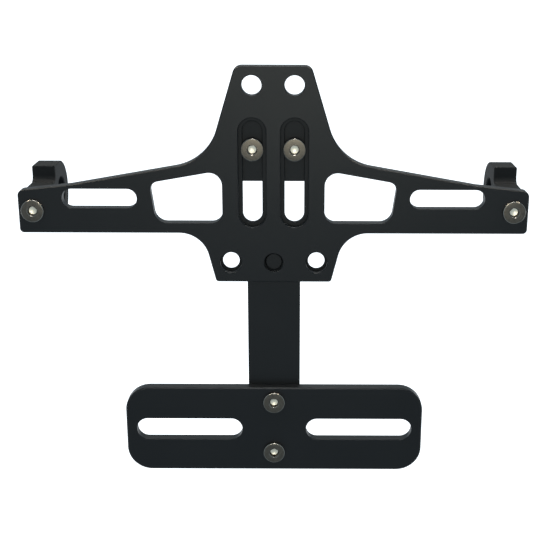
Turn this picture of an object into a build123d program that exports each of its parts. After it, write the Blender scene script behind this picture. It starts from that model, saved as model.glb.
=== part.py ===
from build123d import *
from math import cos, radians, tan
import os

# Tail tidy: a winged aluminium plate that hangs under a motorbike's tail. It carries a number
# plate panel on a stem below, and a bracket with an indicator hole behind each wing tip.
# Millimetres, with X to the right, Y to the back and Z up. The origin is midway between the two
# top holes, on the main plate's back face. A "drop" is a distance below the plate's top edge.

# Main plate outline
PLATE_THICKNESS = 5.0
PLATE_HEIGHT = 100.4
TOP_WIDTH = 34.2
BOTTOM_WIDTH = 53.8
NECK_LEAN = 16.9
TAB_LEAN = 14.3
WING_SPAN = 235.0
WING_TIP_DROP = 58.5
WING_TIP_HEIGHT = 18.3
WING_TOP_SLOPE = 10.1
TOP_CORNER_RADIUS = 3.0
NECK_FLARE_RADIUS = 24.0
TIP_CORNER_RADIUS = 2.0
TAB_FLARE_RADIUS = 14.0
BOTTOM_CORNER_RADIUS = 1.5
PLATE_CHAMFER = 0.4

# Top holes and the two stepped adjusting slots, which share the same columns
COLUMN_PITCH = 19.3
TOP_HOLE_DIAMETER = 9.0
TOP_HOLE_DROP = 8.7
SLOT_WIDTH = 9.0
SLOT_TOP_DROP = 29.5
SLOT_TRAVEL = 38.0
RECESS_DEPTH = 3.0

# Lightening cut-outs and slots in the wings
WING_SLOT_LENGTH = 34.5
WING_SLOT_WIDTH = 9.0
WING_SLOT_INSET = 20.2
WING_SLOT_WEB = 1.8
CUTOUT_TOP_WEB = 5.4
CUTOUT_BOTTOM_WEB = 4.9
CUTOUT_INNER_WEB = 7.5
CUTOUT_OUTER_WEB = 6.9
CUTOUT_OUTER_LEAN = 7.8
CUTOUT_TOP_INNER_RADIUS = 6.0
CUTOUT_TOP_OUTER_RADIUS = 4.0
CUTOUT_BOTTOM_OUTER_RADIUS = 6.0
CUTOUT_BOTTOM_INNER_RADIUS = 5.0

# Row of holes along the plate's lower edge
LOWER_ROW_RISE = 9.4
LOWER_HOLE_SPACING = 40.0
LOWER_HOLE_DIAMETER = 7.8
COUNTERBORE_DIAMETER = 10.0
COUNTERBORE_DEPTH = 3.8
STEM_BORE_DIAMETER = 9.0
STEM_BORE_DEPTH = 2.0

# Stem and number plate panel
STEM_WIDTH = 25.0
STEM_THICKNESS = 7.0
STEM_OVERLAP = 20.0
STEM_REACH = 54.2
STEM_END_INSET = 3.0
STEM_CORNER_RADIUS = 3.0
PANEL_WIDTH = 145.0
PANEL_HEIGHT = 44.1
PANEL_THICKNESS = 5.0
PANEL_CORNER_RADIUS = 12.0
PANEL_SLOT_LENGTH = 51.9
PANEL_SLOT_WIDTH = 11.0
PANEL_SLOT_INSET = 5.0
PANEL_SCREW_DROP = 7.4
PANEL_SCREW_SPACING = 26.8
PANEL_CHAMFER = 0.6

# Nut plate behind the adjusting slots, and how far down the slots its screws are set
NUT_PLATE_WIDTH = 38.0
NUT_PLATE_HEIGHT = 30.4
NUT_PLATE_THICKNESS = 6.0
NUT_PLATE_CORNER_RADIUS = 3.0
SLOT_SCREW_SETTING = 8.5

# Indicator brackets: a foot against the wing's back, then an eye for the indicator
WING_SCREW_INSET = 6.7
WING_SCREW_DROP = 7.7
BRACKET_THICKNESS = 11.0
FOOT_HEIGHT = 16.4
FOOT_LENGTH = 20.0
FOOT_FILLET = 3.0
EYE_RADIUS = 15.7
EYE_SETBACK = 11.3
INDICATOR_HOLE_DIAMETER = 16.0
TAP_RUNOUT = 2.0

# Low button head screws, all alike, that hold the panel, the wings' brackets and the nut plate
SCREW_DIAMETER = 6.0
SCREW_LENGTH = 12.0
SCREW_HEAD_DIAMETER = 10.5
SCREW_HEAD_HEIGHT = 1.8
SCREW_HEAD_CHAMFER = 0.4
SCREW_SOCKET = 4.0
SCREW_SOCKET_DEPTH = 2.0

# Hexagon head screw that holds the stem from behind
STEM_SCREW_DIAMETER = 8.0
STEM_SCREW_HEAD_WIDTH = 13.0
STEM_SCREW_HEAD_HEIGHT = 5.3

# Room around the screws: through holes, recesses and threads
SCREW_CLEARANCE = 0.3
HEAD_CLEARANCE = 1.15
THREAD_CLEARANCE = 0.1

# Places worked out from the sizes above
FRONT_FACE = -PLATE_THICKNESS
HALF_SPAN = WING_SPAN / 2
WING_BOTTOM_DROP = WING_TIP_DROP + WING_TIP_HEIGHT
COLUMN_X = COLUMN_PITCH / 2
RECESS_WIDTH = SCREW_HEAD_DIAMETER + 2 * HEAD_CLEARANCE
SLOT_SCREW_DROP = SLOT_TOP_DROP + SLOT_SCREW_SETTING
LOWER_ROW_DROP = PLATE_HEIGHT - LOWER_ROW_RISE
WING_SCREW_X = HALF_SPAN - WING_SCREW_INSET
WING_SCREW_LEVEL = WING_TIP_DROP + WING_SCREW_DROP
PANEL_TOP_DROP = PLATE_HEIGHT + STEM_REACH
PANEL_MID_DROP = PANEL_TOP_DROP + PANEL_HEIGHT / 2
PANEL_SCREW_DROPS = [
    PANEL_TOP_DROP + PANEL_SCREW_DROP,
    PANEL_TOP_DROP + PANEL_SCREW_DROP + PANEL_SCREW_SPACING,
]
SCREW_HOLE_RADIUS = SCREW_DIAMETER / 2 + SCREW_CLEARANCE
SCREW_TAP_RADIUS = SCREW_DIAMETER / 2 + THREAD_CLEARANCE
TO_FRONT = (0, -1, 0)


def level(drop):
    """Height of a point that lies this far below the plate's top edge."""
    return TOP_HOLE_DROP - drop


def wing_top_drop(x):
    """Drop of the wing's sloping top edge at a distance x from the middle."""
    return WING_TIP_DROP - (HALF_SPAN - x) * tan(radians(WING_TOP_SLOPE))


def both_sides(sketch):
    """A sketch together with its mirror image across the middle."""
    return sketch + mirror(sketch, about=Plane.YZ)


def slab(sketch, thickness, back=0.0):
    """A front-view sketch made solid, from its back face towards the front."""
    return extrude(Plane.XZ.offset(-back) * sketch, amount=thickness, dir=TO_FRONT)


def pocket(sketch, depth):
    """A front-view sketch made solid, to be cut this deep into the main plate's front face."""
    return slab(sketch, depth, FRONT_FACE + depth)


def hole_at(x, drop, radius):
    """A round hole's sketch at a place in the front view."""
    return Pos(x, level(drop)) * Circle(radius)


def broken_outline(solid, size):
    """Chamfer the outline of a solid's front face."""
    front = solid.faces().sort_by(Axis.Y)[0]
    return chamfer(front.outer_wire().edges(), size)


def plate_outline():
    """The main plate's outline: neck, flares, wings and lower tab, each corner with its radius."""
    slope = tan(radians(WING_TOP_SLOPE))
    lean = tan(radians(NECK_LEAN))
    neck_drop = wing_top_drop(TOP_WIDTH / 2) / (1 - slope * lean)
    neck_x = TOP_WIDTH / 2 + neck_drop * lean
    tab_x = BOTTOM_WIDTH / 2 + (PLATE_HEIGHT - WING_BOTTOM_DROP) * tan(radians(TAB_LEAN))
    right = [
        (TOP_WIDTH / 2, 0, TOP_CORNER_RADIUS),
        (neck_x, neck_drop, NECK_FLARE_RADIUS),
        (HALF_SPAN, WING_TIP_DROP, TIP_CORNER_RADIUS),
        (HALF_SPAN, WING_BOTTOM_DROP, TIP_CORNER_RADIUS),
        (tab_x, WING_BOTTOM_DROP, TAB_FLARE_RADIUS),
        (BOTTOM_WIDTH / 2, PLATE_HEIGHT, BOTTOM_CORNER_RADIUS),
    ]
    left = [(-x, drop, radius) for x, drop, radius in reversed(right)]
    corners = right + left
    points = [(x, level(drop)) for x, drop, _ in corners]
    return make_face(FilletPolyline(*points, radius=[radius for _, _, radius in corners], close=True))


def wing_slot():
    """The right wing's slot, held just below the sloping top edge, and the drop of its middle."""
    end_radius = WING_SLOT_WIDTH / 2
    outer_end = HALF_SPAN - WING_SLOT_INSET
    web = (WING_SLOT_WEB + end_radius) / cos(radians(WING_TOP_SLOPE))
    drop = wing_top_drop(outer_end - end_radius) + web
    slot = SlotOverall(WING_SLOT_LENGTH, WING_SLOT_WIDTH)
    return Pos(outer_end - WING_SLOT_LENGTH / 2, level(drop)) * slot, drop


def wing_cutout(slot_drop):
    """The right wing's cut-out: four sides that leave even webs, with rounded corners."""
    slope = tan(radians(WING_TOP_SLOPE))
    lean = tan(radians(CUTOUT_OUTER_LEAN))
    web = CUTOUT_TOP_WEB / cos(radians(WING_TOP_SLOPE))
    inner_x = COLUMN_X + RECESS_WIDTH / 2 + CUTOUT_INNER_WEB
    outer_x = HALF_SPAN - WING_SLOT_INSET - WING_SLOT_LENGTH - CUTOUT_OUTER_WEB
    bottom_drop = WING_BOTTOM_DROP - CUTOUT_BOTTOM_WEB
    rise = (slot_drop - wing_top_drop(outer_x) - web) / (1 + slope * lean)
    top_outer_x = outer_x + rise * lean
    corners = [
        (inner_x, wing_top_drop(inner_x) + web, CUTOUT_TOP_INNER_RADIUS),
        (top_outer_x, wing_top_drop(top_outer_x) + web, CUTOUT_TOP_OUTER_RADIUS),
        (outer_x - (bottom_drop - slot_drop) * lean, bottom_drop, CUTOUT_BOTTOM_OUTER_RADIUS),
        (inner_x, bottom_drop, CUTOUT_BOTTOM_INNER_RADIUS),
    ]
    points = [(x, level(drop)) for x, drop, _ in corners]
    return make_face(FilletPolyline(*points, radius=[radius for _, _, radius in corners], close=True))


def adjusting_slot(width):
    """One upright slot of the right-hand column."""
    middle = SLOT_TOP_DROP + SLOT_TRAVEL / 2
    return Pos(COLUMN_X, level(middle)) * SlotCenterToCenter(SLOT_TRAVEL, width, rotation=90)


def main_plate():
    """The winged plate with its holes, stepped slots, cut-outs and counterbores."""
    slot, slot_drop = wing_slot()
    openings = hole_at(COLUMN_X, TOP_HOLE_DROP, TOP_HOLE_DIAMETER / 2)
    openings += slot
    openings += wing_cutout(slot_drop)
    openings += adjusting_slot(SLOT_WIDTH)
    openings += hole_at(WING_SCREW_X, WING_SCREW_LEVEL, SCREW_HOLE_RADIUS)
    lower_x = LOWER_HOLE_SPACING / 2
    openings += hole_at(lower_x, LOWER_ROW_DROP, LOWER_HOLE_DIAMETER / 2)
    plate = broken_outline(slab(plate_outline() - both_sides(openings), PLATE_THICKNESS), PLATE_CHAMFER)
    plate -= pocket(both_sides(adjusting_slot(RECESS_WIDTH)), RECESS_DEPTH)
    counterbore = hole_at(lower_x, LOWER_ROW_DROP, COUNTERBORE_DIAMETER / 2)
    plate -= pocket(both_sides(counterbore), COUNTERBORE_DEPTH)
    plate -= slab(hole_at(0, LOWER_ROW_DROP, STEM_SCREW_DIAMETER / 2 + THREAD_CLEARANCE), PLATE_THICKNESS)
    plate -= pocket(hole_at(0, LOWER_ROW_DROP, STEM_BORE_DIAMETER / 2), STEM_BORE_DEPTH)
    return plate


def number_plate_panel():
    """The panel that the number plate is fixed to, with a long slot on each side."""
    face = Pos(0, level(PANEL_MID_DROP)) * RectangleRounded(PANEL_WIDTH, PANEL_HEIGHT, PANEL_CORNER_RADIUS)
    slot_x = PANEL_WIDTH / 2 - PANEL_SLOT_INSET - PANEL_SLOT_LENGTH / 2
    slot = SlotOverall(PANEL_SLOT_LENGTH, PANEL_SLOT_WIDTH)
    face -= both_sides(Pos(slot_x, level(PANEL_MID_DROP)) * slot)
    for drop in PANEL_SCREW_DROPS:
        face -= hole_at(0, drop, SCREW_HOLE_RADIUS)
    return broken_outline(slab(face, PANEL_THICKNESS), PANEL_CHAMFER)


def stem():
    """The flat bar that joins the panel to the main plate's back."""
    top_drop = PLATE_HEIGHT - STEM_OVERLAP
    bottom_drop = PANEL_TOP_DROP + PANEL_HEIGHT - STEM_END_INSET
    bar = RectangleRounded(STEM_WIDTH, bottom_drop - top_drop, STEM_CORNER_RADIUS)
    face = Pos(0, level((top_drop + bottom_drop) / 2)) * bar
    face -= hole_at(0, LOWER_ROW_DROP, STEM_SCREW_DIAMETER / 2 + SCREW_CLEARANCE)
    for drop in PANEL_SCREW_DROPS:
        face -= hole_at(0, drop, SCREW_TAP_RADIUS)
    return slab(face, STEM_THICKNESS, STEM_THICKNESS)


def nut_plate():
    """The tapped plate that the slot screws pull against the main plate's back."""
    face = Pos(0, level(SLOT_SCREW_DROP)) * RectangleRounded(
        NUT_PLATE_WIDTH, NUT_PLATE_HEIGHT, NUT_PLATE_CORNER_RADIUS)
    face -= both_sides(hole_at(COLUMN_X, SLOT_SCREW_DROP, SCREW_TAP_RADIUS))
    return slab(face, NUT_PLATE_THICKNESS, NUT_PLATE_THICKNESS)


def indicator_bracket():
    """The right-hand bracket: a foot that runs back from the wing tip into a round eye."""
    eye_y = FOOT_LENGTH + EYE_SETBACK
    half_foot = FOOT_HEIGHT / 2
    corners = [
        (eye_y, EYE_RADIUS),
        (FOOT_LENGTH, EYE_RADIUS),
        (FOOT_LENGTH, half_foot),
        (0, half_foot),
        (0, -half_foot),
        (FOOT_LENGTH, -half_foot),
        (FOOT_LENGTH, -EYE_RADIUS),
        (eye_y, -EYE_RADIUS),
    ]
    arm = FilletPolyline(*corners, radius=[0, FOOT_FILLET, 0, 0, FOOT_FILLET, 0])
    end = ThreePointArc((eye_y, -EYE_RADIUS), (eye_y + EYE_RADIUS, 0), (eye_y, EYE_RADIUS))
    side = make_face([arm, end]) - Pos(eye_y, 0) * Circle(INDICATOR_HOLE_DIAMETER / 2)
    inner_plane = Plane.YZ.offset(WING_SCREW_X - BRACKET_THICKNESS / 2)
    body = extrude(inner_plane * Pos(0, level(WING_SCREW_LEVEL)) * side, amount=BRACKET_THICKNESS)
    tapped_hole = hole_at(WING_SCREW_X, WING_SCREW_LEVEL, SCREW_TAP_RADIUS)
    tapped_depth = SCREW_LENGTH - PLATE_THICKNESS + TAP_RUNOUT
    return body - slab(tapped_hole, tapped_depth, tapped_depth)


def hexagon(width_across_flats):
    """A hexagon's sketch, for a socket or a screw head."""
    return RegularPolygon(width_across_flats / 2, 6, major_radius=False)


def button_screw():
    """A low button head screw, standing head up with the underside of its head at zero."""
    head = extrude(Circle(SCREW_HEAD_DIAMETER / 2), amount=SCREW_HEAD_HEIGHT)
    head = chamfer(head.edges().sort_by(Axis.Z)[-1], SCREW_HEAD_CHAMFER)
    shank = extrude(Circle(SCREW_DIAMETER / 2), amount=SCREW_LENGTH, dir=(0, 0, -1))
    key = Pos(0, 0, SCREW_HEAD_HEIGHT) * hexagon(SCREW_SOCKET)
    return head + shank - extrude(key, amount=SCREW_SOCKET_DEPTH, dir=(0, 0, -1))


def button_screws():
    """The screws in the adjusting slots, at the wing tips and in the panel, each on its seat."""
    recess_floor = FRONT_FACE + RECESS_DEPTH
    places = [(x, recess_floor, SLOT_SCREW_DROP) for x in (-COLUMN_X, COLUMN_X)]
    places += [(x, FRONT_FACE, WING_SCREW_LEVEL) for x in (-WING_SCREW_X, WING_SCREW_X)]
    places += [(0, -PANEL_THICKNESS, drop) for drop in PANEL_SCREW_DROPS]
    screw = Rot(X=90) * button_screw()
    return Compound([Pos(x, seat, level(drop)) * screw for x, seat, drop in places])


def stem_screw():
    """The screw from behind that holds the stem, ending at the floor of the plate's bore."""
    end = FRONT_FACE + STEM_BORE_DEPTH
    head = Pos(0, level(LOWER_ROW_DROP)) * hexagon(STEM_SCREW_HEAD_WIDTH)
    shank = hole_at(0, LOWER_ROW_DROP, STEM_SCREW_DIAMETER / 2)
    screw = slab(head, STEM_SCREW_HEAD_HEIGHT, STEM_THICKNESS + STEM_SCREW_HEAD_HEIGHT)
    return screw + slab(shank, STEM_THICKNESS - end, STEM_THICKNESS)


right_bracket = indicator_bracket()
pieces = {
    "main_plate": main_plate(),
    "number_plate_panel": number_plate_panel(),
    "stem": stem(),
    "nut_plate": nut_plate(),
    "indicator_bracket_right": right_bracket,
    "indicator_bracket_left": mirror(right_bracket, about=Plane.YZ),
    "button_screws": button_screws(),
    "stem_screw": stem_screw(),
}

os.makedirs("parts", exist_ok=True)
for name, piece in pieces.items():
    export_step(piece, f"parts/{name}.step")
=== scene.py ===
"""Dress a motorbike tail tidy: milled black plates, bright threaded screws and a white studio.

Sizes are millimetres in the part's own frame, with X to the right, Y to the back and Z up, and they
become metres when a mesh is made. Every piece is a profile carried along a line: an edge profile
round a plate's outline and openings, or a turned profile round a screw's axis.
"""

from __future__ import annotations

import logging
import math
from collections.abc import Sequence
from dataclasses import dataclass
from enum import Enum

import bmesh
import bpy
import numpy as np
from bpy.types import Material, Node, NodeSocket, Object
from mathutils import Matrix, Vector
from mathutils.geometry import tessellate_polygon

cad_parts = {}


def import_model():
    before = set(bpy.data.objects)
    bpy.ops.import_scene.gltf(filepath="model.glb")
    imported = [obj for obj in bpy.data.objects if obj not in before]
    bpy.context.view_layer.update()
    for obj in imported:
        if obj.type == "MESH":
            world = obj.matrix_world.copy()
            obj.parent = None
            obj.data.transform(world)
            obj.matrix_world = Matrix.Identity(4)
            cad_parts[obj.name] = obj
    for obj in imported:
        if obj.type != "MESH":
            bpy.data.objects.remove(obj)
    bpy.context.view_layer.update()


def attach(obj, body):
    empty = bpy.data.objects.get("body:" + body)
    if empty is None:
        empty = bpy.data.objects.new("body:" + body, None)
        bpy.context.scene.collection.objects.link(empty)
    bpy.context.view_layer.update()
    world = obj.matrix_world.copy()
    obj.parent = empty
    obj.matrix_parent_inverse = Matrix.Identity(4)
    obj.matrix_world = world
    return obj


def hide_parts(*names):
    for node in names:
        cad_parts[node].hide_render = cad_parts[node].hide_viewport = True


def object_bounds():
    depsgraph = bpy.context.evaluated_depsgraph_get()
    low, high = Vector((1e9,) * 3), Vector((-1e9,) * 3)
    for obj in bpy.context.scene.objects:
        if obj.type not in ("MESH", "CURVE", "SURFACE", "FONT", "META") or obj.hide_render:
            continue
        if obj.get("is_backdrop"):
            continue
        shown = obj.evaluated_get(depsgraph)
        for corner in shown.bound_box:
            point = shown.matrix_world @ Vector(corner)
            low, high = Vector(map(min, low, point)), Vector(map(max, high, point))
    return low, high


log = logging.getLogger("tail_tidy")

Pair = tuple[float, float]
Triple = tuple[float, float, float]
Four = tuple[float, float, float, float]
Colour = Four
Array = np.ndarray
Station = tuple[Array, Array]

MM = 0.001
BODY = "root"
# Points along a corner's arc, and the distance under which two points are one
ARC_STEPS = 17
SAME_PLACE = 1e-6
# Edges that bend by more than this break the smooth shading
SHARP_ANGLE = math.radians(27.0)
# Dullness of cut walls and of milled shoulders, where a blasted face has 0 and a raw one 1
CUT = 0.25
MILLED = 0.3
# Height of the finishes' fine bumps, in metres
BUMP_DEPTH = 0.02 * MM
# What most lights face, in metres, and the colour of the lights above
PART_MIDDLE = (0.0, 0.0, -0.08)
AMBER = (1.0, 0.90, 0.75)


class View(Enum):
    """The flat view that a milled piece's outline is drawn in."""

    FRONT = "front"
    SIDE = "side"

    def place(self, flat: Array, depth: Array) -> Array:
        """Turn flat places and depths into places in the part's frame.

        Args:
            flat: Places in the view, across and up, in the last axis.
            depth: Depth behind the view's own plane, one for each place.

        Returns:
            Places as X, Y and Z in the last axis.
        """
        across, up = flat[..., 0], flat[..., 1]
        axes = [across, depth, up] if self is View.FRONT else [depth, across, up]
        return np.stack(axes, axis=-1)


class Side(Enum):
    """The side of the part that a paired piece is on."""

    LEFT = -1
    RIGHT = 1


def unit(vectors: Array) -> Array:
    """Scale each row to a length of one."""
    return vectors / np.linalg.norm(vectors, axis=-1, keepdims=True)


def tangent(degrees: float) -> float:
    """Rise over run of a slope."""
    return math.tan(math.radians(degrees))


def rotation(degrees: float, axis: str) -> Matrix:
    """Turn about one axis."""
    return Matrix.Rotation(math.radians(degrees), 4, axis)


@dataclass(frozen=True)
class Loop:
    """A closed line in a flat view, with the direction that leaves the material at each point.

    Attributes:
        points: Places along the line, one row each.
        outward: Unit directions out of the material, one row for each point.
    """

    points: Array
    outward: Array

    @classmethod
    def rounded(cls, corners: Sequence[Triple]) -> Loop:
        """Draw a polygon whose corners are arcs that touch both of their sides.

        An arc's middle lies on its corner's bisector, radius / sin(half the corner's angle) from
        the corner, and the arc turns in even steps from one touching point to the other.

        Args:
            corners: Each corner's two coordinates and its radius, in order.

        Returns:
            The line as the outline of a solid.
        """
        table = np.asarray(corners, float)
        corner, radius = table[:, :2], table[:, 2:]
        following = np.roll(corner, -1, axis=0)
        back = unit(np.roll(corner, 1, axis=0) - corner)
        ahead = unit(following - corner)
        half_angle = np.arccos(np.sum(back * ahead, axis=1, keepdims=True)) / 2
        middle = corner + unit(back + ahead) * radius / np.sin(half_angle)
        first = corner + back * radius / np.tan(half_angle) - middle
        last = corner + ahead * radius / np.tan(half_angle) - middle
        start = np.arctan2(first[:, 1:], first[:, :1])
        sweep = np.arctan2(last[:, 1:], last[:, :1]) - start
        sweep = (sweep + math.pi) % (2 * math.pi) - math.pi
        angle = start + sweep * np.linspace(0, 1, ARC_STEPS)
        spoke = np.stack([np.cos(angle), np.sin(angle)], axis=-1)
        area = np.sum(corner[:, 0] * following[:, 1] - corner[:, 1] * following[:, 0])
        points = (middle[:, None] + radius[:, None] * spoke).reshape(-1, 2)
        outward = (spoke * np.sign(sweep * area)[:, :, None]).reshape(-1, 2)
        step = np.linalg.norm(np.roll(points, -1, axis=0) - points, axis=1)
        return cls(points[step > SAME_PLACE], outward[step > SAME_PLACE])

    @classmethod
    def rectangle(cls, middle: Pair, size: Pair, radius: float) -> Loop:
        """Draw a rectangle with round corners, or a slot or circle where the radius is half a side.

        Args:
            middle: Its middle, across and up.
            size: Its width and height.
            radius: Its corners' radius.

        Returns:
            The line as the outline of a solid.
        """
        right, top = size[0] / 2, size[1] / 2
        signs = ((1, 1), (-1, 1), (-1, -1), (1, -1))
        return cls.rounded([(middle[0] + i * right, middle[1] + j * top, radius) for i, j in signs])

    @classmethod
    def hole(cls, middle: Pair, radius: float) -> Loop:
        """Draw a circle with the material outside it."""
        return cls.rectangle(middle, (2 * radius, 2 * radius), radius).as_hole()

    def as_hole(self) -> Loop:
        """Give the same line with the material outside it."""
        return Loop(self.points, -self.outward)

    def mirrored(self) -> Loop:
        """Give the line's mirror image across the middle."""
        flip = np.array([-1.0, 1.0])
        return Loop(self.points * flip, self.outward * flip)


@dataclass(frozen=True)
class Wall:
    """A line and the edge profile that is carried along it, from the front face to the back face.

    Attributes:
        loop: The line in the piece's flat view.
        profile: Rows of inset into the material, depth behind the front face and dullness.
    """

    loop: Loop
    profile: Array

    def both_sides(self) -> list[Wall]:
        """Give this wall and its mirror image."""
        return [self, Wall(self.loop.mirrored(), self.profile)]


class Skin:
    """Sheets of faces that are gathered into one mesh."""

    def __init__(self) -> None:
        """Start with no faces."""
        self._points: list[Array] = []
        self._faces: list[list[int]] = []
        self._marks: list[Array] = []
        self._count = 0

    def _keep(self, points: Array, mark: Array | float) -> Array:
        """Keep points with their marks.

        Args:
            points: Places, with X, Y and Z in the last axis.
            mark: A value for the finish, one for each point or one for all.

        Returns:
            The points' numbers in the mesh.
        """
        flat = points.reshape(-1, 3)
        numbers = self._count + np.arange(len(flat))
        self._points.append(flat)
        self._marks.append(np.broadcast_to(mark, points.shape[:-1]).reshape(-1))
        self._count += len(flat)
        return numbers.reshape(points.shape[:-1])

    def sheet(self, points: Array, mark: Array | float = 0.0) -> Array:
        """Add four-sided faces over a grid whose rows close on themselves.

        Args:
            points: Places, with the closed direction first and the open one second.
            mark: A value for the finish, one for each point or one for all.

        Returns:
            The points' numbers in the mesh, in the same grid.
        """
        here = self._keep(points, mark)
        beside = np.roll(here, -1, axis=0)
        quads = np.stack([here[:, :-1], beside[:, :-1], beside[:, 1:], here[:, 1:]], axis=-1)
        self._faces.extend(quads.reshape(-1, 4).tolist())
        return here

    def face(self, rims: Sequence[Array], flats: Sequence[Array]) -> None:
        """Fill a flat face between an outer rim and the rims of its openings.

        Args:
            rims: The numbers of each rim's points, the outer rim first.
            flats: The same points in the flat view.
        """
        lines = [np.pad(flat, ((0, 0), (0, 1))).tolist() for flat in flats]
        corners = np.asarray(tessellate_polygon(lines))
        self._faces.extend(np.concatenate(rims)[corners].tolist())

    def fan(self, rim: Array, tip: Array, mark: float = 0.0) -> None:
        """Close a round rim with triangles that meet at its tip."""
        apex = np.full(len(rim), self._keep(tip[None, :], mark)[0])
        self._faces.extend(np.stack([rim, np.roll(rim, -1), apex], axis=-1).tolist())

    def to_object(self, name: str) -> Object:
        """Make the mesh, with faces that point outwards and shading that breaks at its edges.

        Args:
            name: The piece's name.

        Returns:
            The piece at the origin, linked to the scene.
        """
        mesh = bpy.data.meshes.new(name)
        mesh.from_pydata((np.concatenate(self._points) * MM).tolist(), [], self._faces)
        marks = mesh.attributes.new("mark", "FLOAT", "POINT")
        marks.data.foreach_set("value", np.concatenate(self._marks).astype(np.float32))
        work = bmesh.new()
        work.from_mesh(mesh)
        bmesh.ops.recalc_face_normals(work, faces=work.faces)
        work.to_mesh(mesh)
        work.free()
        mesh.shade_smooth()
        mesh.set_sharp_from_angle(angle=SHARP_ANGLE)
        piece = bpy.data.objects.new(name, mesh)
        bpy.context.scene.collection.objects.link(piece)
        return piece


class Value:
    """A shader socket that Python's operators combine through Math nodes."""

    def __init__(self, graph: Graph, socket: NodeSocket) -> None:
        """Wrap one output socket of a graph."""
        self.graph = graph
        self.socket = socket

    def __add__(self, other: Value | float) -> Value:
        """Add a value or number."""
        return self.graph.math("ADD", self, other)

    def __sub__(self, other: Value | float) -> Value:
        """Subtract a value or number."""
        return self.graph.math("SUBTRACT", self, other)

    def __mul__(self, other: Value | float) -> Value:
        """Multiply by a value or number."""
        return self.graph.math("MULTIPLY", self, other)

    __radd__ = __add__

    def sway(self, width: float) -> Value:
        """Turn a share from 0 to 1 into a change of up to half a width to either side."""
        return (self - 0.5) * width


class Graph:
    """A material's nodes, with its Principled shader ready to be fed."""

    def __init__(self, name: str) -> None:
        """Make a material with one Principled shader.

        Args:
            name: The material's name.
        """
        self.material = bpy.data.materials.new(name)
        self.material.use_nodes = True
        self.tree = self.material.node_tree
        self.tree.nodes.clear()
        self.shader = self.node("ShaderNodeBsdfPrincipled")
        self.node("ShaderNodeOutputMaterial", Surface=Value(self, self.shader.outputs["BSDF"]))

    def node(self, kind: str, settings: dict | None = None, **sockets: object) -> Node:
        """Add a node: its settings first, then its inputs.

        Args:
            kind: The node's type.
            settings: Properties of the node, such as a Math node's operation.
            sockets: Its inputs, as feed takes them.

        Returns:
            The node.
        """
        made = self.tree.nodes.new(kind)
        for key, setting in (settings or {}).items():
            setattr(made, key, setting)
        self.feed(made, **sockets)
        return made

    def feed(self, node: Node, **sockets: object) -> None:
        """Set inputs of a node to numbers, colours or other nodes' values.

        Args:
            node: The node that is fed.
            sockets: What goes in, by an input's name with _ for a space, or by in_N for input N.
        """
        for key, value in sockets.items():
            number = key.removeprefix("in_")
            socket = node.inputs[int(number) if number.isdigit() else key.replace("_", " ")]
            if isinstance(value, Value):
                self.tree.links.new(value.socket, socket)
            else:
                socket.default_value = value

    def out(self, node: Node, key: str | int) -> Value:
        """Give one output of a node as a value."""
        return Value(self, node.outputs[key])

    def math(self, operation: str, *terms: Value | float) -> Value:
        """Add a Math node on values and numbers."""
        inputs = {f"in_{i}": term for i, term in enumerate(terms)}
        return self.out(self.node("ShaderNodeMath", {"operation": operation}, **inputs), "Value")

    def mix(self, share: Value, first: Colour | Value, second: Colour) -> Value:
        """Mix two colours by a share of the second, through a Mix node's colour sockets."""
        node = self.node("ShaderNodeMix", {"data_type": "RGBA"}, in_0=share, in_6=first, in_7=second)
        return self.out(node, 2)

    def noise(self, cell_mm: float, detail: float) -> Value:
        """Add a noise texture in Object coordinates.

        Args:
            cell_mm: Size of its cells.
            detail: Number of finer layers on top of them.

        Returns:
            A soft random value from 0 to 1.
        """
        place = self.out(self.node("ShaderNodeTexCoord"), "Object")
        texture = self.node("ShaderNodeTexNoise", Vector=place, Scale=1 / (cell_mm * MM), Detail=detail)
        return self.out(texture, "Fac")

    def waves(self, value: Value, length: float) -> Value:
        """Give a sine wave from 0 to 1 that repeats with a length."""
        return self.math("SINE", value * (2 * math.pi / length)) * 0.5 + 0.5

    def mark(self) -> Value:
        """Give the value that the pieces' points carry for their finish."""
        return self.out(self.node("ShaderNodeAttribute", {"attribute_name": "mark"}), "Fac")

    def shade(self, **sockets: object) -> Material:
        """Feed the Principled shader and give the material."""
        self.feed(self.shader, **sockets)
        return self.material

    def bump(self, height: Value, strength: float) -> Value:
        """Give a normal that follows a height."""
        node = self.node("ShaderNodeBump", Height=height, Strength=strength, Distance=BUMP_DEPTH)
        return self.out(node, "Normal")


@dataclass(frozen=True)
class BlackAnodised:
    """Satin black dye over bead-blasted aluminium: even, with a fine matt grain and faint clouds.

    The pieces' mark is a face's dullness: 0 where it was blasted, and more where it was only cut.
    """

    name: str = "black_satin"
    dark: Colour = (0.0046, 0.0052, 0.0056, 1.0)
    light: Colour = (0.0070, 0.0077, 0.0082, 1.0)
    specular: float = 0.25
    roughness: float = 0.39
    dull_roughness: float = 0.80
    grain_mm: float = 0.35
    grain_detail: float = 2.0
    grain_gloss: float = 0.14
    grain_bump: float = 0.12
    cloud_mm: float = 26.0
    cloud_detail: float = 3.0
    cloud_gloss: float = 0.08

    def material(self) -> Material:
        """Build the finish: clouds in the dye, and grain in the gloss and the surface.

        Returns:
            The material.
        """
        graph = Graph(self.name)
        grain = graph.noise(self.grain_mm, self.grain_detail)
        cloud = graph.noise(self.cloud_mm, self.cloud_detail)
        dull = graph.mark() * (self.dull_roughness - self.roughness)
        return graph.shade(
            Base_Color=graph.mix(cloud, self.dark, self.light),
            Roughness=self.roughness + dull + grain.sway(self.grain_gloss) + cloud.sway(self.cloud_gloss),
            Normal=graph.bump(grain, self.grain_bump),
            Specular_IOR_Level=self.specular,
        )


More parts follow.
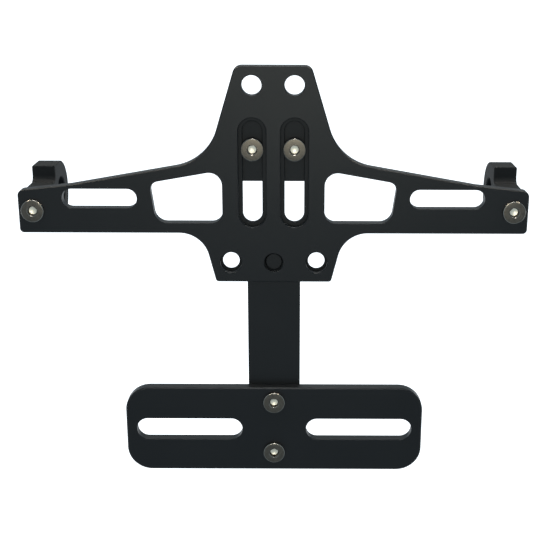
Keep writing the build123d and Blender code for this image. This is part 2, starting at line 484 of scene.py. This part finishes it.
@dataclass(frozen=True)
class TurnedSteel:
    """Stainless steel: a dull face with turning rings, a lip and rim painted lighter as partly polish and
    partly painted highlight, and a socket floor painted near white as a painted highlight.

    The pieces' mark is the distance from a screw's axis, in millimetres.
    """

    name: str = "turned_steel"
    dull: Colour = (0.056, 0.048, 0.039, 1.0)
    clean: Colour = (0.150, 0.131, 0.107, 1.0)
    # Lip and rim colour: partly real polish, partly a painted highlight that makes their bright arcs read
    polish_and_painted_highlight: Colour = (0.31, 0.285, 0.25, 1.0)
    # Socket floor colour, near white: a painted highlight of the light that the floor's dish catches
    bright: Colour = (0.93, 0.84, 0.68, 1.0)
    roughness: float = 0.34
    floor_mm: float = 1.8
    lip_mm: float = 2.38
    lip_reach_mm: float = 0.08
    rim_mm: float = 4.95
    ring_mm: float = 0.55
    ring_share: float = 0.35
    ring_bump: float = 0.15
    smudge_mm: float = 1.3
    smudge_detail: float = 3.0
    smudge_gloss: float = 0.16
    edge_polish: float = 0.12
    floor_haze: float = 0.08

    def material(self) -> Material:
        """Build the finish: rings and smudges on the face, then a lighter lip and rim that are partly
        polish and partly painted highlight, and a socket floor with a painted highlight over it.

        Returns:
            The material.
        """
        graph = Graph(self.name)
        radius = graph.mark()
        rings = graph.waves(radius, self.ring_mm)
        smudge = graph.noise(self.smudge_mm, self.smudge_detail)
        # Where the socket floor's painted highlight goes
        floor = graph.math("LESS_THAN", radius, self.floor_mm)
        lip = graph.math("COMPARE", radius, self.lip_mm, self.lip_reach_mm)
        # Mask of the lip and rim, which get lower roughness and a lighter colour that is partly polish and
        # partly painted highlight
        edge = graph.math("MAXIMUM", lip, graph.math("GREATER_THAN", radius, self.rim_mm))
        wear = rings * self.ring_share + smudge * (1 - self.ring_share)
        face = graph.mix(wear, self.dull, self.clean)
        gloss = self.roughness + smudge.sway(self.smudge_gloss) - edge * self.edge_polish
        return graph.shade(
            # Lip and rim take their colour that is partly polish and partly painted highlight; the socket
            # floor takes its painted highlight
            Base_Color=graph.mix(floor, graph.mix(edge, face, self.polish_and_painted_highlight), self.bright),
            Metallic=1.0,
            Roughness=gloss + floor * self.floor_haze,
            Normal=graph.bump(rings, self.ring_bump),
        )


@dataclass(frozen=True)
class BlackOxide:
    """Blackened steel with a dry, slightly uneven oxide."""

    name: str = "black_oxide"
    dark: Colour = (0.005, 0.0055, 0.006, 1.0)
    worn: Colour = (0.014, 0.014, 0.0135, 1.0)
    metallic: float = 0.2
    specular: float = 0.25
    roughness: float = 0.42
    fleck_mm: float = 0.6
    fleck_detail: float = 4.0
    fleck_gloss: float = 0.2
    fleck_bump: float = 0.1

    def material(self) -> Material:
        """Build the finish: flecks of thinner oxide in the colour and the gloss.

        Returns:
            The material.
        """
        graph = Graph(self.name)
        fleck = graph.noise(self.fleck_mm, self.fleck_detail)
        return graph.shade(
            Base_Color=graph.mix(fleck, self.dark, self.worn),
            Metallic=self.metallic,
            Specular_IOR_Level=self.specular,
            Roughness=self.roughness + fleck.sway(self.fleck_gloss),
            Normal=graph.bump(fleck, self.fleck_bump),
        )


@dataclass(frozen=True)
class PaleFloor:
    """Plain matt white for the studio's floor, lit so evenly that no shadow shows on it."""

    name: str = "pale_floor"
    colour: Colour = (0.93, 0.93, 0.93, 1.0)
    roughness: float = 0.9
    glow: float = 1.1

    def material(self) -> Material:
        """Build the floor's finish."""
        return Graph(self.name).shade(
            Base_Color=self.colour,
            Roughness=self.roughness,
            Emission_Color=self.colour,
            Emission_Strength=self.glow,
        )


@dataclass
class Piece:
    """A visible piece that stands for a CAD node."""

    node: str

    def shape(self) -> Object:
        """Make the piece's mesh."""
        raise NotImplementedError

    def build(self, finish: Material, slot: str) -> None:
        """Make the piece, give it its finish and its body, and hide the node that it stands for.

        Args:
            finish: The piece's material.
            slot: The record's slot that the finish belongs to; not used.
        """
        piece = self.shape()
        piece.data.materials.append(finish)
        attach(piece, BODY)
        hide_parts(self.node)
        log.info("%s: %d faces", piece.name, len(piece.data.polygons))


@dataclass
class MilledPiece(Piece):
    """A piece milled from flat bar: an outline and openings carried through its thickness.

    Attributes:
        thickness: The bar's thickness.
        front: Depth of the front face in the piece's view.
        edge: The chamfer that breaks every edge without one of its own.
        view: The view that the outline is drawn in.
        dull: The least dullness of its faces.
    """

    thickness: float
    front: float = 0.0
    edge: float = 0.25
    view: View = View.FRONT
    dull: float = 0.0

    def outline(self) -> Wall:
        """Give the piece's outer wall."""
        raise NotImplementedError

    def openings(self) -> list[Wall]:
        """Give the walls of the piece's openings."""
        raise NotImplementedError

    def straight(self, loop: Loop, chamfer: float | None = None) -> Wall:
        """Give a wall that goes straight through the piece.

        Args:
            loop: The wall's line.
            chamfer: The front chamfer, where it is more than a broken edge.

        Returns:
            The wall.
        """
        front, back, end = chamfer or self.edge, self.edge, self.thickness
        return Wall(loop, np.array([(front, 0, 0), (0, front, CUT), (0, end - back, CUT), (back, end, 0)]))

    def stepped(self, loop: Loop, depth: float, step: float, chamfer: float | None = None) -> Wall:
        """Give a wall that goes down to a milled shoulder and on through a narrower opening.

        Args:
            loop: The line of the wide part.
            depth: How deep the shoulder lies.
            step: How much narrower the opening is on each side.
            chamfer: The chamfer at each edge, where it isn't the piece's own.

        Returns:
            The wall.
        """
        edge, end = chamfer or self.edge, self.thickness
        return Wall(loop, np.array([
            (edge, 0, 0), (0, edge, CUT), (0, depth, MILLED), (edge - step, depth, MILLED),
            (-step, depth + edge, MILLED), (-step, end - edge, CUT), (edge - step, end, 0),
        ]))

    def shape(self) -> Object:
        """Make the piece's mesh from its walls.

        A wall's point lies on its line, moved into the material by the profile's inset and back by
        the profile's depth. The two flat faces are filled between the walls' rims.

        Returns:
            The piece.
        """
        skin = Skin()
        grids, flats = [], []
        for wall in [self.outline(), *self.openings()]:
            inset, depth, dull = wall.profile.T
            flat = wall.loop.points[:, None] - inset[None, :, None] * wall.loop.outward[:, None]
            places = self.view.place(flat, np.broadcast_to(depth + self.front, flat.shape[:2]))
            grids.append(skin.sheet(places, np.maximum(dull, self.dull)))
            flats.append(flat)
        for end in (0, -1):
            skin.face([grid[:, end] for grid in grids], [flat[:, end] for flat in flats])
        return skin.to_object(f"{self.node}_milled")


@dataclass
class MainPlate(MilledPiece):
    """The winged plate with its holes, stepped slots, cut-outs and counterbores.

    Its drops are measured down from its top edge, and its slopes and leans are in degrees.
    """

    node: str = "main_plate"
    thickness: float = 5.0
    front: float = -5.0
    outline_chamfer: float = 0.4
    height: float = 100.4
    top_width: float = 34.2
    bottom_width: float = 53.8
    neck_lean: float = 16.9
    tab_lean: float = 14.3
    half_span: float = 117.5
    tip_drop: float = 58.5
    tip_height: float = 18.3
    top_slope: float = 10.1
    bend_x: float = 93.0
    bend_radius: float = 20.0
    tip_slope: float = 6.0
    top_radius: float = 4.0
    neck_radius: float = 24.0
    tip_top_radius: float = 3.0
    tip_radius: float = 2.0
    tab_radius: float = 14.0
    bottom_radius: float = 1.5
    column_x: float = 9.65
    top_hole_radius: float = 4.5
    top_hole_drop: float = 8.7
    slot_radius: float = 4.5
    slot_top_drop: float = 29.5
    slot_travel: float = 38.0
    recess_radius: float = 6.4
    recess_depth: float = 3.0
    wing_slot_size: Pair = (34.5, 9.0)
    wing_slot_inset: float = 20.2
    wing_slot_web: float = 1.8
    cutout_top_web: float = 5.4
    cutout_bottom_web: float = 4.9
    cutout_inner_web: float = 7.5
    cutout_outer_web: float = 6.9
    cutout_outer_lean: float = 7.8
    cutout_radii: Four = (6.0, 4.0, 6.0, 5.0)
    wing_screw: Pair = (110.8, 66.2)
    screw_hole_radius: float = 3.3
    lower_row_rise: float = 9.4
    lower_hole_x: float = 20.0
    lower_hole_radius: float = 3.9
    counterbore_radius: float = 5.0
    counterbore_depth: float = 3.8
    bore_radius: float = 4.5
    bore_depth: float = 2.0
    bore_edge: float = 0.15
    bore_thread_radius: float = 4.1

    def level(self, drop: float) -> float:
        """Height of a place that lies this far below the top edge."""
        return self.top_hole_drop - drop

    def wing_top(self, x: float) -> float:
        """Drop of the wing's sloping top edge at a distance from the middle, inside its bend."""
        return self.tip_drop - (self.half_span - x) * tangent(self.top_slope)

    def outline(self) -> Wall:
        """Give the outer wall: neck, flares, wings that level out towards their tips, and lower tab.

        Returns:
            The wall, with its front chamfer.
        """
        slope = tangent(self.top_slope)
        lean = tangent(self.neck_lean)
        wing_bottom = self.tip_drop + self.tip_height
        neck_drop = self.wing_top(self.top_width / 2) / (1 - slope * lean)
        tab_x = self.bottom_width / 2 + (self.height - wing_bottom) * tangent(self.tab_lean)
        bend_drop = self.wing_top(self.bend_x)
        tip_fall = (self.half_span - self.bend_x) * tangent(self.tip_slope)
        right = [
            (self.top_width / 2, 0.0, self.top_radius),
            (self.top_width / 2 + neck_drop * lean, neck_drop, self.neck_radius),
            (self.bend_x, bend_drop, self.bend_radius),
            (self.half_span, bend_drop + tip_fall, self.tip_top_radius),
            (self.half_span, wing_bottom, self.tip_radius),
            (tab_x, wing_bottom, self.tab_radius),
            (self.bottom_width / 2, self.height, self.bottom_radius),
        ]
        left = [(-x, drop, radius) for x, drop, radius in reversed(right)]
        loop = Loop.rounded([(x, self.level(drop), radius) for x, drop, radius in right + left])
        return self.straight(loop, self.outline_chamfer)

    def openings(self) -> list[Wall]:
        """Give the stem screw's bore in the middle and the openings of both halves.

        Returns:
            Their walls.
        """
        lower_z = self.level(self.height - self.lower_row_rise)
        tip = (self.wing_screw[0], self.level(self.wing_screw[1]))
        lower_hole = Loop.hole((self.lower_hole_x, lower_z), self.counterbore_radius)
        lower_step = self.counterbore_radius - self.lower_hole_radius
        bore = Loop.hole((0.0, lower_z), self.bore_radius)
        bore_step = self.bore_radius - self.bore_thread_radius
        wing_slot, slot_drop = self.wing_slot()
        halves = (
            self.straight(Loop.hole((self.column_x, 0.0), self.top_hole_radius)),
            self.straight(Loop.hole(tip, self.screw_hole_radius)),
            self.stepped(lower_hole, self.counterbore_depth, lower_step),
            wing_slot,
            self.wing_cutout(slot_drop),
            self.adjusting_slot(),
        )
        middle = self.stepped(bore, self.bore_depth, bore_step, self.bore_edge)
        return [middle, *(wall for half in halves for wall in half.both_sides())]

    def adjusting_slot(self) -> Wall:
        """Give the right-hand stepped slot that a screw slides in.

        Returns:
            The wall.
        """
        middle = (self.column_x, self.level(self.slot_top_drop + self.slot_travel / 2))
        size = (2 * self.recess_radius, self.slot_travel + 2 * self.recess_radius)
        loop = Loop.rectangle(middle, size, self.recess_radius).as_hole()
        return self.stepped(loop, self.recess_depth, self.recess_radius - self.slot_radius)

    def wing_slot(self) -> tuple[Wall, float]:
        """Give the right wing's slot, which lies a web's width below the wing's top edge.

        Returns:
            The slot's wall, and the drop of its middle.
        """
        length, width = self.wing_slot_size
        outer_end = self.half_span - self.wing_slot_inset
        web = (self.wing_slot_web + width / 2) / math.cos(math.radians(self.top_slope))
        drop = self.wing_top(outer_end - width / 2) + web
        middle = (outer_end - length / 2, self.level(drop))
        return self.straight(Loop.rectangle(middle, (length, width), width / 2).as_hole()), drop

    def wing_cutout(self, slot_drop: float) -> Wall:
        """Give the right wing's cut-out, which leaves even webs around it.

        Args:
            slot_drop: Drop of the wing slot's middle, where the outer web is measured.

        Returns:
            The wall.
        """
        slope = tangent(self.top_slope)
        lean = tangent(self.cutout_outer_lean)
        web = self.cutout_top_web / math.cos(math.radians(self.top_slope))
        inner_x = self.column_x + self.recess_radius + self.cutout_inner_web
        outer_x = self.half_span - self.wing_slot_inset - self.wing_slot_size[0] - self.cutout_outer_web
        bottom = self.tip_drop + self.tip_height - self.cutout_bottom_web
        rise = (slot_drop - self.wing_top(outer_x) - web) / (1 + slope * lean)
        top_x = outer_x + rise * lean
        places = [
            (inner_x, self.wing_top(inner_x) + web),
            (top_x, self.wing_top(top_x) + web),
            (outer_x - (bottom - slot_drop) * lean, bottom),
            (inner_x, bottom),
        ]
        corners = [(x, self.level(drop), r) for (x, drop), r in zip(places, self.cutout_radii, strict=True)]
        return self.straight(Loop.rounded(corners).as_hole())


@dataclass
class NumberPlatePanel(MilledPiece):
    """The panel that a number plate is fixed to, with a long slot on each side."""

    node: str = "number_plate_panel"
    thickness: float = 5.0
    front: float = -5.0
    size: Pair = (145.0, 44.1)
    middle_z: float = -167.95
    corner_radius: float = 12.0
    chamfer: float = 0.6
    slot_size: Pair = (51.9, 11.0)
    slot_x: float = 41.55
    slot_chamfer: float = 0.3
    screw_levels: Pair = (-153.3, -180.1)
    screw_hole_radius: float = 3.3

    def outline(self) -> Wall:
        """Give the outer wall with its front chamfer."""
        loop = Loop.rectangle((0.0, self.middle_z), self.size, self.corner_radius)
        return self.straight(loop, self.chamfer)

    def openings(self) -> list[Wall]:
        """Give the two slots and the two screw holes.

        Returns:
            Their walls.
        """
        loop = Loop.rectangle((self.slot_x, self.middle_z), self.slot_size, self.slot_size[1] / 2)
        slot = self.straight(loop.as_hole(), self.slot_chamfer)
        holes = [self.straight(Loop.hole((0.0, z), self.screw_hole_radius)) for z in self.screw_levels]
        return [*slot.both_sides(), *holes]


@dataclass
class Stem(MilledPiece):
    """The flat bar that joins the panel to the main plate's back."""

    node: str = "stem"
    thickness: float = 7.0
    width: float = 25.0
    top: float = -71.7
    bottom: float = -187.0
    corner_radius: float = 3.0
    holes: tuple[Pair, ...] = ((-82.3, 4.3), (-153.3, 3.1), (-180.1, 3.1))

    def outline(self) -> Wall:
        """Give the bar's outer wall."""
        size = (self.width, self.top - self.bottom)
        return self.straight(Loop.rectangle((0.0, (self.top + self.bottom) / 2), size, self.corner_radius))

    def openings(self) -> list[Wall]:
        """Give the holes of the stem screw and the panel screws."""
        return [self.straight(Loop.hole((0.0, z), radius)) for z, radius in self.holes]


@dataclass
class NutPlate(MilledPiece):
    """The tapped plate that the slot screws pull against the main plate's back."""

    node: str = "nut_plate"
    thickness: float = 6.0
    dull: float = MILLED
    size: Pair = (38.0, 30.4)
    middle_z: float = -29.3
    corner_radius: float = 3.0
    hole_x: float = 9.65
    hole_radius: float = 3.1

    def outline(self) -> Wall:
        """Give the plate's outer wall."""
        return self.straight(Loop.rectangle((0.0, self.middle_z), self.size, self.corner_radius))

    def openings(self) -> list[Wall]:
        """Give the two tapped holes."""
        return self.straight(Loop.hole((self.hole_x, self.middle_z), self.hole_radius)).both_sides()


@dataclass
class IndicatorBracket(MilledPiece):
    """A bracket behind a wing tip: a foot that runs back into a round eye for an indicator."""

    node: str = "indicator_bracket"
    thickness: float = 11.0
    dull: float = 1.0
    edge: float = 0.4
    view: View = View.SIDE
    side: Side = Side.RIGHT
    middle_x: float = 110.8
    middle_z: float = -57.5
    foot_height: float = 16.4
    foot_length: float = 20.0
    foot_fillet: float = 3.0
    corner_radius: float = 0.4
    eye_radius: float = 15.7
    eye_setback: float = 11.3
    indicator_radius: float = 8.0

    def __post_init__(self) -> None:
        """Name the bracket's own node and place it on its side."""
        self.node = f"{self.node}_{self.side.name.lower()}"
        self.front = self.side.value * self.middle_x - self.thickness / 2

    def outline(self) -> Wall:
        """Give the outer wall: a low foot, a fillet up to the eye and the eye's round end.

        Returns:
            The wall.
        """
        half, eye = self.foot_height / 2, self.eye_radius
        end = self.foot_length + self.eye_setback + eye
        lower = [
            (0.0, -half, self.corner_radius),
            (self.foot_length, -half, self.foot_fillet),
            (self.foot_length, -eye, self.corner_radius),
            (end, -eye, eye),
        ]
        upper = [(y, -z, radius) for y, z, radius in reversed(lower)]
        corners = [(y, z + self.middle_z, radius) for y, z, radius in lower + upper]
        return self.straight(Loop.rounded(corners))

    def openings(self) -> list[Wall]:
        """Give the indicator's hole."""
        middle = (self.foot_length + self.eye_setback, self.middle_z)
        return [self.straight(Loop.hole(middle, self.indicator_radius))]


@dataclass(frozen=True)
class Thread:
    """A screw's rolled thread, from under its head to its tip.

    Attributes:
        radius: The thread's outer radius.
        length: From the underside of the head to the tip.
        pitch: Distance between turns.
        depth: Depth of the groove.
        neck: Length under the head over which the groove grows to its depth.
        tip: The chamfer at the tip.
        rows_per_turn: Stations down the screw for each turn.
    """

    radius: float
    length: float
    pitch: float
    depth: float
    neck: float = 1.2
    tip: float = 0.8
    rows_per_turn: int = 8

    def stations(self, angle: Array) -> Station:
        """Work out the thread's radius over a grid of angle and height.

        The groove is a triangle wave of height / pitch less the share of a turn, so its ridge
        climbs one pitch a turn. It fades in below the head, and a cone trims the tip.

        Args:
            angle: Angles round the axis, as a column.

        Returns:
            Radius and height, one column for each station down the screw.
        """
        rows = int(self.length / self.pitch * self.rows_per_turn)
        height = -np.linspace(0.0, self.length, rows + 1)[None, 1:]
        phase = height / self.pitch - angle / (2 * math.pi)
        ridge = np.abs(2 * (phase % 1.0) - 1)
        grown = np.clip(-height / self.neck, 0.0, 1.0)
        radius = self.radius - self.depth * (1 - ridge) * grown
        cone = self.radius - self.tip + (height + self.length)
        return np.minimum(radius, cone), np.broadcast_to(height, radius.shape)


@dataclass
class Screw(Piece):
    """A turned screw: a profile carried round its axis, with a hexagon in or round its head.

    Attributes:
        thread: The screw's thread.
        sides: Steps round the axis, in whole sixths so that the hexagon's corners are sharp.
    """

    thread: Thread
    sides: int = 72

    def angles(self) -> Array:
        """Give the angles round the axis as a column."""
        return np.linspace(0, 2 * math.pi, self.sides, endpoint=False)[:, None]

    def hexagon(self, width: float) -> Array:
        """Radius of a hexagon of a width across flats, at each angle."""
        return width / 2 / np.cos(self.angles() % (math.pi / 3) - math.pi / 6)

    def column(self, radius: float | Array, height: float | Array) -> Station:
        """Spread a radius and a height over the angles, one column for each station."""
        shape = np.broadcast_shapes((self.sides, 1), np.shape(radius), np.shape(height))
        return np.broadcast_to(radius, shape), np.broadcast_to(height, shape)

    def turn(self, skin: Skin, stations: Sequence[Station], place: Matrix) -> None:
        """Carry a profile round the axis, close both ends and put the screw in its place.

        Args:
            skin: The mesh that the screw joins, whose mark is the distance from the axis.
            stations: Radius and height over the angles, from the head's middle to the tip.
            place: The screw's place, which turns its axis from Z.
        """
        radius = np.concatenate([r for r, _ in stations], axis=1)
        height = np.concatenate([h for _, h in stations], axis=1)
        angle = self.angles()
        local = np.stack([radius * np.cos(angle), radius * np.sin(angle), height], axis=-1)
        turned, shift = np.array(place.to_3x3()), np.array(place.translation)
        grid = skin.sheet(local @ turned.T + shift, radius)
        for column in (0, -1):
            tip = np.array([0.0, 0.0, height[0, column]])
            skin.fan(grid[:, column], turned @ tip + shift, radius[0, column])


@dataclass
class ButtonScrews(Screw):
    """The bright screws with low flat button heads: slots, wing tips and panel.

    Each of their places is the screw's X, its seat's Y, its Z and the angle that it stopped at.
    """

    node: str = "button_screws"
    thread: Thread = Thread(radius=3.0, length=12.0, pitch=1.0, depth=0.5)
    head_radius: float = 5.25
    head_height: float = 1.8
    crown_fall: float = 0.08
    rim_radius: float = 0.4
    underside_edge: float = 0.15
    socket: float = 4.0
    socket_depth: float = 2.0
    lip_radius: float = 2.42
    dish_radius: float = 1.85
    dish_depth: float = 0.32
    dish_start: float = 0.1
    dish_steps: int = 6
    face_steps: int = 7
    rim_steps: int = 9
    places: tuple[Four, ...] = (
        (-9.65, -2.0, -29.3, 12.0),
        (9.65, -2.0, -29.3, -8.0),
        (-110.8, -5.0, -57.5, 22.0),
        (110.8, -5.0, -57.5, -14.0),
        (0.0, -5.0, -153.3, 3.0),
        (0.0, -5.0, -180.1, 31.0),
    )

    def stations(self) -> list[Station]:
        """Give the profile from the socket's floor to the tip.

        The socket's floor is a shallow dish, and its lip is a cone that the hexagon cuts. The face
        falls with the square of the way to the rim, which is a quarter of a circle.

        Returns:
            Radius and height over the angles, one pair for each stretch.
        """
        hexagon = self.hexagon(self.socket)
        floor = self.head_height - self.socket_depth
        dish = np.linspace(self.dish_start, 1, self.dish_steps)[None, :]
        share = np.linspace(0, 1, self.face_steps)[None, 1:-1]
        bend = np.linspace(0, math.pi / 2, self.rim_steps)[None, :]
        rim_middle = self.head_radius - self.rim_radius
        rim_height = self.head_height - self.crown_fall - self.rim_radius
        return [
            self.column(self.dish_radius * dish, floor - self.dish_depth * (1 - dish**2)),
            self.column(hexagon, floor),
            self.column(hexagon, self.head_height - (self.lip_radius - hexagon)),
            self.column(self.lip_radius, self.head_height),
            self.column(self.lip_radius + (rim_middle - self.lip_radius) * share,
                        self.head_height - self.crown_fall * share**2),
            self.column(rim_middle + self.rim_radius * np.sin(bend),
                        rim_height + self.rim_radius * np.cos(bend)),
            self.column(self.head_radius, self.underside_edge),
            self.column(self.head_radius - self.underside_edge, 0.0),
            self.column(self.thread.radius, 0.0),
            self.thread.stations(self.angles()),
        ]

    def shape(self) -> Object:
        """Make every screw in one mesh, each on its seat and turned as it was tightened.

        Returns:
            The piece.
        """
        skin = Skin()
        stations = self.stations()
        forward = rotation(90.0, "X")
        for x, seat, z, angle in self.places:
            place = Matrix.Translation((x, seat, z)) @ forward @ rotation(angle, "Z")
            self.turn(skin, stations, place)
        return skin.to_object(f"{self.node}_turned")


@dataclass
class StemScrew(Screw):
    """The hexagon head screw that holds the stem from behind."""

    node: str = "stem_screw"
    thread: Thread = Thread(radius=4.0, length=10.0, pitch=1.25, depth=0.62, tip=0.3)
    head_width: float = 13.0
    head_height: float = 5.3
    face_radius: float = 6.2
    face_slope: float = 30.0
    washer_radius: float = 5.9
    washer_height: float = 0.3
    place: Triple = (0.0, 7.0, -82.3)

    def shape(self) -> Object:
        """Make the screw: a hexagon whose corners a cone trims, a washer face and the thread.

        Returns:
            The piece.
        """
        hexagon = self.hexagon(self.head_width)
        fall = (hexagon - self.face_radius) * tangent(self.face_slope)
        stations = [
            self.column(self.face_radius, self.head_height),
            self.column(hexagon, self.head_height - fall),
            self.column(hexagon, self.washer_height),
            self.column(self.washer_radius, self.washer_height),
            self.column(self.washer_radius, 0.0),
            self.column(self.thread.radius, 0.0),
            self.thread.stations(self.angles()),
        ]
        skin = Skin()
        backward = rotation(-90.0, "X")
        self.turn(skin, stations, Matrix.Translation(self.place) @ backward)
        return skin.to_object(f"{self.node}_turned")


@dataclass(frozen=True)
class SoftBox:
    """A studio light that faces a target, in metres.

    Attributes:
        name: The light's name.
        place: Where it hangs.
        size: Its width and height.
        power: Its power in watts.
        target: What it faces.
        colour: Its colour.
        spread: The angle that its grid lets light out at, in degrees.
    """

    name: str
    place: Triple
    size: Pair
    power: float
    target: Triple = PART_MIDDLE
    colour: Triple = (1.0, 1.0, 1.0)
    spread: float = 180.0

    def hang(self) -> None:
        """Add the light to the scene."""
        data = bpy.data.lights.new(self.name, "AREA")
        data.shape = "RECTANGLE"
        data.size, data.size_y = self.size
        data.energy, data.color = self.power, self.colour
        data.spread = math.radians(self.spread)
        light = bpy.data.objects.new(self.name, data)
        light.visible_camera = False
        light.location = self.place
        aim = Vector(self.target) - Vector(self.place)
        light.rotation_euler = aim.to_track_quat("-Z", "Y").to_euler()
        bpy.context.scene.collection.objects.link(light)


@dataclass
class Studio:
    """A white room: a pale floor, soft lights and the camera at the photograph's angle.

    Attributes:
        floor_drop: How far the floor lies under the part, which hangs from its mount.
        floor_reach: Radius of the flat floor.
        floor_sides: Steps round the floor.
        cove_radius: Radius of the curve from the floor up to the wall.
        wall_height: Height of the wall above the curve.
        camera_place: The camera's place in metres.
        camera_pitch: Tilt of the camera from straight down, in degrees.
        camera_roll: Turn of the picture, in degrees.
        lens: The camera's focal length in millimetres.
        sensor: Width of its sensor in millimetres.
        shift: The picture's shift, as shares of its width.
        ambient: Colour of the light from all sides.
        ambient_strength: Strength of that light.
        lights: The soft boxes that light it.
    """

    floor_drop: float = 0.5
    floor_reach: float = 4.0
    floor_sides: int = 102
    cove_radius: float = 2.0
    wall_height: float = 6.0
    camera_place: Triple = (0.01096, -0.47469, 0.06131)
    camera_pitch: float = 72.594
    camera_roll: float = 0.196
    lens: float = 70.0
    sensor: float = 36.0
    shift: Pair = (-0.05, 0.0004)
    ambient: Colour = (0.80, 1.0, 1.16, 1.0)
    ambient_strength: float = 0.50
    lights: tuple[SoftBox, ...] = (
        SoftBox("floor_glow", (0.0, 7.7, -0.68), (10.0, 15.0), 400.0, target=(0.0, 7.7, 1.0)),
        SoftBox("top_left_box", (-0.75, 0.1, 1.05), (0.35, 0.35), 1.2, colour=AMBER, spread=60.0),
        SoftBox("top_right_box", (0.75, 0.1, 1.05), (0.35, 0.35), 1.2, colour=AMBER, spread=60.0),
        SoftBox("overhead_box", (0.0, -0.25, 1.0), (0.3, 0.3), 0.25, spread=40.0),
        SoftBox("back_box", (0.0, 3.0, 1.45), (4.0, 1.1), 1.4, colour=(1.0, 0.91, 0.77), spread=60.0),
        SoftBox("rear_left_box", (-0.8, 1.0, -0.25), (0.5, 0.5), 1.2),
        SoftBox("rear_right_box", (0.8, 1.0, -0.25), (0.5, 0.5), 1.2),
        SoftBox("key_box", (0.0, -1.0, 0.36), (0.25, 0.25), 0.5, (0.0, 0.0, -0.05), (1.0, 0.97, 0.90)),
        SoftBox("front_box", (0.01, -1.2, 0.02), (0.35, 0.35), 0.90, (0.0, 0.0, 0.0), (1.0, 1.0, 0.88),
                spread=110.0),
    )

    def build(self, finish: Material) -> None:
        """Add the floor, the lights, the ambient light and the camera.

        Args:
            finish: The floor's material.
        """
        self.lay_floor(finish)
        for light in self.lights:
            light.hang()
        world = bpy.data.worlds.new("studio")
        world.use_nodes = True
        background = world.node_tree.nodes["Background"]
        background.inputs["Color"].default_value = self.ambient
        background.inputs["Strength"].default_value = self.ambient_strength
        bpy.context.scene.world = world
        bpy.context.scene.view_settings.view_transform = "Standard"
        self.set_camera()

    def lay_floor(self, finish: Material) -> None:
        """Lay a round floor that curves up into a wall, and that only the camera sees.

        The floor is flat out to its reach, then a quarter of a circle, then straight up, all carried
        round the middle. The part is lit by the studio's lights alone.

        Args:
            finish: The floor's material.
        """
        low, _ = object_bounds()
        bend = np.linspace(0, math.pi / 2, ARC_STEPS)
        wall = self.floor_reach + self.cove_radius
        radius = np.append(self.floor_reach + self.cove_radius * np.sin(bend), wall)
        rise = np.append(self.cove_radius * (1 - np.cos(bend)), self.cove_radius + self.wall_height)
        angle = np.linspace(0, 2 * math.pi, self.floor_sides, endpoint=False)[:, None]
        level = np.broadcast_to(low.z - self.floor_drop + rise, (len(angle), len(rise)))
        grid = np.stack([radius * np.cos(angle), radius * np.sin(angle), level], axis=-1) / MM
        skin = Skin()
        rim = skin.sheet(grid)[:, 0]
        skin.fan(rim, np.array([0.0, 0.0, level[0, 0]]) / MM)
        floor = skin.to_object("floor")
        floor.data.materials.append(finish)
        floor.visible_diffuse = False
        floor.visible_glossy = False
        floor.visible_shadow = False
        floor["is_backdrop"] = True

    def set_camera(self) -> None:
        """Place the camera where the photograph was taken from."""
        data = bpy.data.cameras.new("camera")
        data.lens = self.lens
        data.sensor_width = self.sensor
        data.shift_x, data.shift_y = self.shift
        camera = bpy.data.objects.new("camera", data)
        pitch = rotation(self.camera_pitch, "X")
        roll = rotation(self.camera_roll, "Z")
        camera.matrix_world = Matrix.Translation(self.camera_place) @ pitch @ roll
        bpy.context.scene.collection.objects.link(camera)
        bpy.context.scene.camera = camera


def main() -> None:
    """Load the frame, dress every piece of it and set the studio."""
    logging.basicConfig(level=logging.INFO, format="%(name)s %(message)s")
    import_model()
    black = BlackAnodised().material()
    brackets = [IndicatorBracket(side=side) for side in Side]
    for piece in (MainPlate(), NumberPlatePanel(), Stem(), NutPlate(), *brackets):
        piece.build(black, "black_anodised")
    ButtonScrews().build(TurnedSteel().material(), "screw_steel")
    StemScrew().build(BlackOxide().material(), "black_steel")
    Studio().build(PaleFloor().material())


if __name__ == "__main__":
    main()
